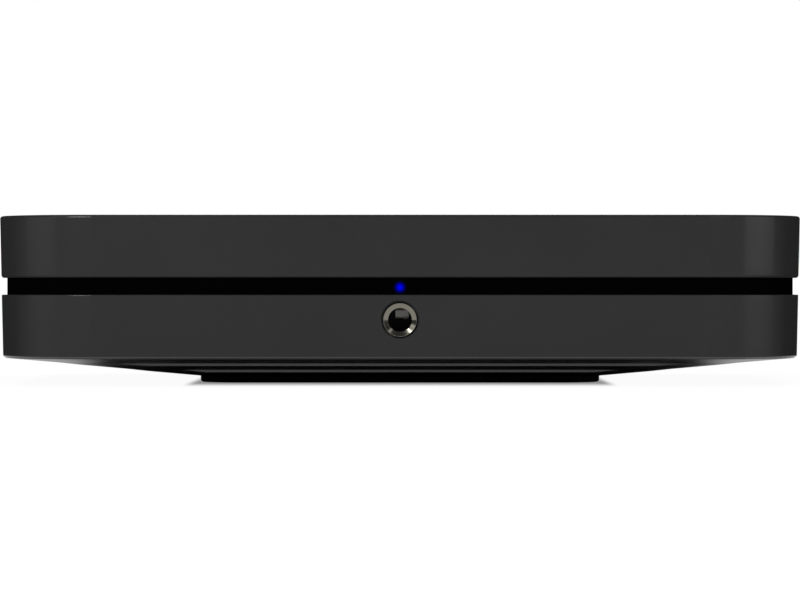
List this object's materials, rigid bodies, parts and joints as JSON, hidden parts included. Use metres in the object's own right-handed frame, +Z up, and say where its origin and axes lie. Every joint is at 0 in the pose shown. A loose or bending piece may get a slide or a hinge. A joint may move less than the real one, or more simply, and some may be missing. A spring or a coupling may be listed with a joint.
{
  "type": "network music streamer",
  "caption": "Low rounded network music streamer: drafted shells over a recessed dark band, wide foot, front headphone jack and lamp, top touch glass and a rear bay of sockets.",
  "frame": {"origin": "on the ground under the middle of the case", "axes": "+Z up, +X to the right seen from the front, the front faces -Y"},
  "size_m": [0.22, 0.146, 0.046],
  "materials": {
    "case_plastic": "fine satin texture",
    "band_plastic": "smooth, dark",
    "foot_rubber": "soft, matt",
    "panel_plastic": "fine texture",
    "touch_glass": "polished, black behind",
    "adhesive": "soft tape",
    "green_board": "lacquered",
    "tan_board": "bare laminate",
    "cream_plastic": "natural nylon",
    "lamp_blue": "lit lens",
    "nickel": "nickel plate",
    "tinplate": "tinned sheet",
    "gold": "gold plate",
    "chip_black": "moulded package",
    "silicone": "soft pad",
    "bare_aluminium": "extruded",
    "capacitor_sleeve": "shrink sleeve",
    "antenna_copper": "etched copper on film",
    "ferrite": "sintered ferrite",
    "winding": "wound wire and tape",
    "choke_wire": "enamelled wire",
    "fuse_glass": "clear tube",
    "wire_red": "insulated wire",
    "white_plastic": "moulded",
    "red_plastic": "moulded",
    "orange_plastic": "moulded",
    "black_plastic": "moulded",
    "emitter_red": "clear red lens"
  },
  "bodies": {
    "housing": {"top_shell": "case_plastic", "lower_shell": "case_plastic", "centre_band": "band_plastic", "rubber_foot": "foot_rubber", "rear_panel": "panel_plastic", "touch_glass": "touch_glass", "touch_gasket": "adhesive", "touch_board": "green_board", "touch_ribbon": "cream_plastic", "ribbon_sockets": "cream_plastic", "status_lamp": "lamp_blue", "lamp_board": "green_board", "lamp_pins": "gold", "headphone_bush": "nickel", "headphone_body": "panel_plastic", "headphone_contacts": "gold", "main_board": "green_board", "processor_chip": "chip_black", "thermal_pad": "silicone", "heat_sink": "bare_aluminium", "audio_chips": "chip_black", "audio_capacitors": "capacitor_sleeve", "wireless_module": "tinplate", "antennas": "antenna_copper", "power_board": "tan_board", "transformer_core": "ferrite", "transformer_coil": "winding", "mains_capacitor": "capacitor_sleeve", "power_heat_sink": "bare_aluminium", "mains_choke": "choke_wire", "fuse_tube": "fuse_glass", "fuse_clips": "tinplate", "power_plugs": "cream_plastic", "power_wires": "wire_red", "mains_inlet": "panel_plastic", "mains_pins": "nickel", "lan_shield": "tinplate", "lan_insert": "chip_black", "lan_contacts": "gold", "usb_shell": "tinplate", "usb_tongue": "white_plastic", "hdmi_shell": "tinplate", "hdmi_tongue": "chip_black", "optical_body": "panel_plastic", "optical_emitter": "emitter_red", "audio_in_jack": "panel_plastic", "trigger_jack": "panel_plastic", "infrared_jack": "panel_plastic", "phono_block": "panel_plastic", "phono_barrels": "nickel", "phono_insulator_coax": "orange_plastic", "phono_insulator_sub": "black_plastic", "phono_insulator_right": "red_plastic", "phono_insulator_left": "white_plastic", "phono_contacts": "gold", "case_screws": "tinplate", "board_screws": "tinplate"},
    "shutter": {"optical_shutter": "panel_plastic"}
  },
  "joints": [
    {"name": "optical_shutter_hinge", "type": "hinge", "parent": "housing", "child": "shutter", "pos_m": [-0.00215, 0.061, 0.0212], "axis": [-1, 0, 0], "range_deg": [0, 85], "stiffness_Nm_per_rad": 0.0005, "springref_deg": -17.19}
  ]
}
